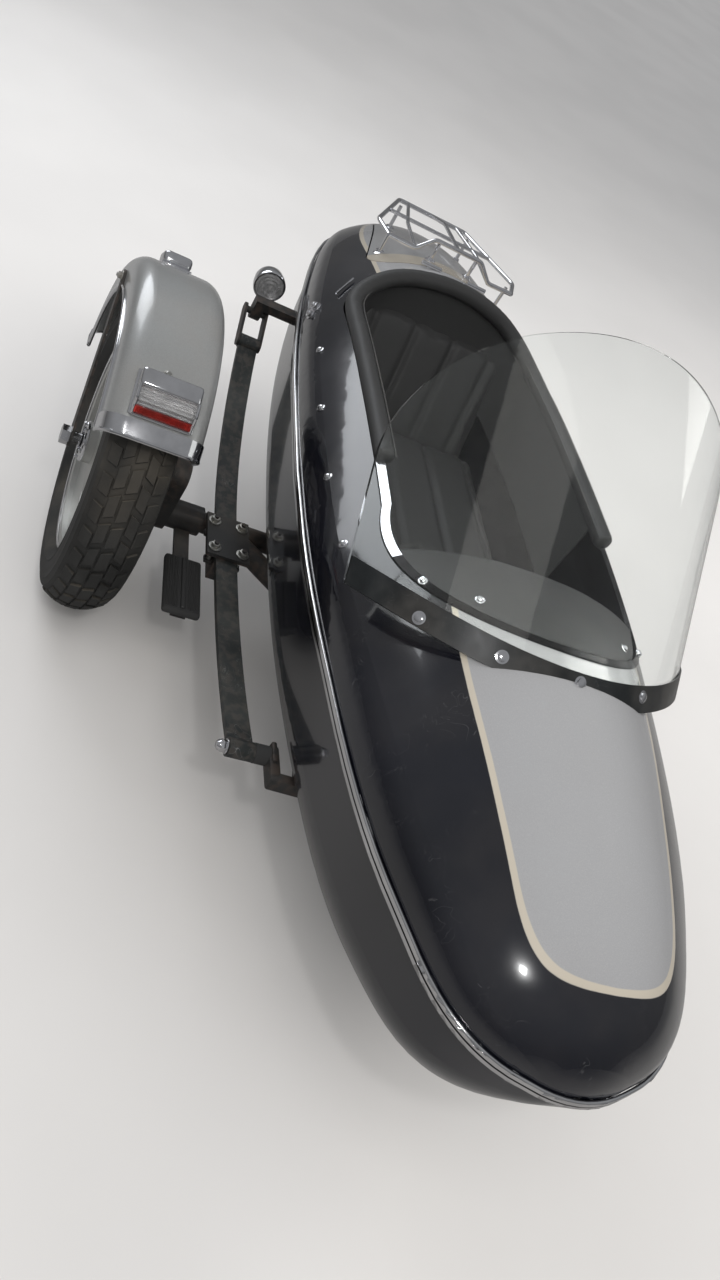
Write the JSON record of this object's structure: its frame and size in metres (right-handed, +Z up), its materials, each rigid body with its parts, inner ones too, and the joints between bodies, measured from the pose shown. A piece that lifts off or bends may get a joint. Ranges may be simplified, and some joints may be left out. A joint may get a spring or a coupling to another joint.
{
  "type": "motorcycle sidecar",
  "caption": "Single-seat touring sidecar: moulded body on leaf springs, tube chassis, one fendered wheel, bent windshield, hinged trunk lid with rack.",
  "frame": {"origin": "middle of the bounding box's floor footprint, as the sidecar stands by itself on its wheel and its two lower forks", "axes": "+X forward along the body, +Y left towards the motorcycle, +Z up; the body leans about 3.5 degrees to the left"},
  "size_m": [2.234, 1.203, 1.0618],
  "materials": {
    "black_paint": "gloss",
    "silver_paint": "metallic gloss",
    "black_metal": "satin",
    "chrome": "polished",
    "bare_steel": "brushed",
    "cast_alloy": "satin",
    "tyre": "matte",
    "black_rubber": "matte",
    "black_vinyl": "grained",
    "grey_board": "matte",
    "clear_sheet": "clear",
    "black_plastic": "satin"
  },
  "bodies": {
    "chassis": {"tub": "black_paint", "deck": "black_paint", "body_ends": "black_paint", "belt_moulding": "chrome", "coaming_roll": "black_vinyl", "cowl_trim": "chrome", "dash_flap": "black_vinyl", "floor_mat": "black_rubber", "seat_box": "grey_board", "seat_cushion": "black_vinyl", "seat_back": "black_vinyl", "windshield": "clear_sheet", "windshield_strip": "black_plastic", "lid_hinges": "chrome", "axle_casting": "black_metal", "axle_spindle": "chrome", "brake_caliper": "black_metal", "left_rail": "black_metal", "cross_tube": "black_metal", "diagonal_tube": "black_metal", "front_fork": "black_metal", "rear_fork": "black_metal", "front_strut_lug": "black_metal", "rear_strut_lug": "black_metal", "right_leaf_spring": "black_metal", "left_leaf_spring": "black_metal", "spring_saddles": "black_metal", "spring_clamps": "black_metal", "front_brackets": "black_metal", "rear_shackles": "black_metal", "rear_brackets": "black_metal", "step_pad": "black_rubber", "fender": "silver_paint", "fender_stays": "black_metal", "fender_front_lamp": "chrome", "fender_rear_lamp": "chrome", "turn_lamp": "chrome"},
    "wheel": {"tyre": "tyre", "wheel_rim": "cast_alloy", "brake_disc": "bare_steel"},
    "trunk": {"trunk_lid": "silver_paint", "luggage_rack": "chrome"}
  },
  "joints": [
    {"name": "wheel_spin", "type": "hinge", "parent": "chassis", "child": "wheel", "pos_m": [-0.159, -0.49125, 0.32206], "axis": [0, 0.9981, -0.061], "continuous": true},
    {"name": "trunk_lid_hinge", "type": "hinge", "parent": "chassis", "child": "trunk", "pos_m": [-0.641, 0.15059, 0.70933], "axis": [0, 0.9981, -0.061], "range_deg": [0, 75]}
  ]
}
